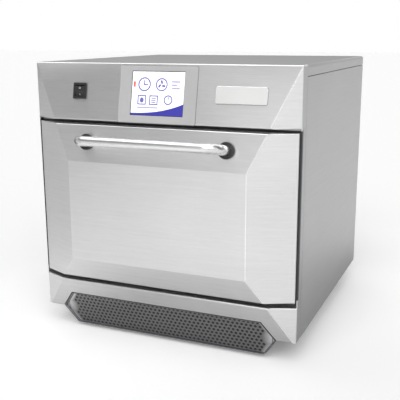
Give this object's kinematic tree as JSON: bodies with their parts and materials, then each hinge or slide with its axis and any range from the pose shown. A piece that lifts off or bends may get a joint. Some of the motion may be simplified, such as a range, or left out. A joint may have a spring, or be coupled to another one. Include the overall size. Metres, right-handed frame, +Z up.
{
  "type": "speed oven",
  "caption": "Countertop hot-air and microwave oven with a faceted steel front, drop-down door, touch screen, rocker switch and pull-off air filter.",
  "frame": {"origin": "centre of the bounding box's bottom face, on the surface that the feet stand on", "axes": "+Z up, door faces -Y, +X to the right seen from the front"},
  "size_m": [0.584, 0.693, 0.594],
  "materials": {
    "front_steel": "fine horizontal brushing",
    "casing_steel": "brushed",
    "rear_steel": "satin",
    "plate_steel": "satin",
    "handle_steel": "satin polished tube",
    "bezel_plate": "satin light grey",
    "badge_finish": "satin off-white, bare",
    "screen": "lit display under clear glass",
    "display_housing": "moulded",
    "black_plastic": "fine texture",
    "nylon": "natural",
    "foot_rubber": "matt",
    "seal_rubber": "silicone",
    "filter_steel": "perforated, dull",
    "duct_steel": "zinc grey",
    "cavity_steel": "satin",
    "cook_plate_metal": "coated plate",
    "insulation": "mineral wool",
    "hinge_steel": "plain",
    "heater_sheath": "oxidised sheath",
    "motor_steel": "zinc",
    "waveguide_metal": "sheet",
    "transformer_iron": "varnished laminations"
  },
  "bodies": {
    "oven_body": {"control_fascia": "front_steel", "lower_fascia": "front_steel", "side_panel_left": "casing_steel", "side_panel_right": "casing_steel", "top_cover": "casing_steel", "rear_panel": "rear_steel", "base_pan": "rear_steel", "casing_screws": "rear_steel", "front_plate": "plate_steel", "screen_bezel": "bezel_plate", "badge_plate": "badge_finish", "touch_glass": "screen", "display_module": "display_housing", "power_board": "display_housing", "switch_housing": "black_plastic", "interlock_switches": "black_plastic", "cable_gland": "black_plastic", "cooling_fan_frame_left": "black_plastic", "cooling_fan_frame_right": "black_plastic", "stay_guides": "nylon", "feet": "foot_rubber", "filter_housing": "duct_steel", "exhaust_duct": "duct_steel", "cavity_shell": "cavity_steel", "impinger_plate": "cavity_steel", "rack_supports": "cavity_steel", "fan_housing": "cavity_steel", "grease_filter": "cavity_steel", "cavity_insulation": "insulation", "hinge_lug_left": "hinge_steel", "hinge_lug_right": "hinge_steel", "hinge_pins": "hinge_steel", "heater_element": "heater_sheath", "convection_motor": "motor_steel", "waveguide_left": "waveguide_metal", "waveguide_right": "waveguide_metal", "magnetron_left": "waveguide_metal", "magnetron_right": "waveguide_metal", "transformer_left": "transformer_iron", "transformer_right": "transformer_iron"},
    "door": {"door_skin": "front_steel", "door_inner_panel": "plate_steel", "door_core": "insulation", "door_seal": "seal_rubber", "door_choke": "plate_steel", "door_handle": "handle_steel", "handle_collars": "black_plastic", "handle_screws": "hinge_steel", "door_latches": "hinge_steel", "door_hinge_bracket_left": "hinge_steel", "door_hinge_bracket_right": "hinge_steel", "door_stay_left": "hinge_steel", "door_stay_right": "hinge_steel"},
    "rocker": {"switch_rocker": "black_plastic"},
    "air_filter": {"air_filter_panel": "filter_steel"},
    "cook_plate": {"cook_plate": "cook_plate_metal"},
    "impeller": {"convection_impeller": "motor_steel"},
    "cooling_rotor_left": {"cooling_fan_left": "black_plastic"},
    "cooling_rotor_right": {"cooling_fan_right": "black_plastic"}
  },
  "joints": [
    {"name": "door_hinge", "type": "hinge", "parent": "oven_body", "child": "door", "pos_m": [0, -0.27353, 0.14], "axis": [1, 0, 0], "range_deg": [0, 90]},
    {"name": "switch_rock", "type": "hinge", "parent": "oven_body", "child": "rocker", "pos_m": [-0.1785, -0.26306, 0.53572], "axis": [-1, 0, 0], "range_deg": [0, 16]},
    {"name": "air_filter_pull", "type": "slide", "parent": "oven_body", "child": "air_filter", "axis": [0, -1, 0], "range_m": [0, 0.06]},
    {"name": "cook_plate_lift", "type": "slide", "parent": "oven_body", "child": "cook_plate", "axis": [0, 0, 1], "range_m": [0, 0.06]},
    {"name": "impeller_spin", "type": "hinge", "parent": "oven_body", "child": "impeller", "pos_m": [0, 0.15747, 0.308], "axis": [0, 1, 0], "continuous": true},
    {"name": "cooling_spin_left", "type": "hinge", "parent": "oven_body", "child": "cooling_rotor_left", "pos_m": [-0.075, -0.13553, 0.107], "axis": [0, 1, 0], "continuous": true},
    {"name": "cooling_spin_right", "type": "hinge", "parent": "oven_body", "child": "cooling_rotor_right", "pos_m": [0.075, -0.13553, 0.107], "axis": [0, 1, 0], "continuous": true}
  ]
}
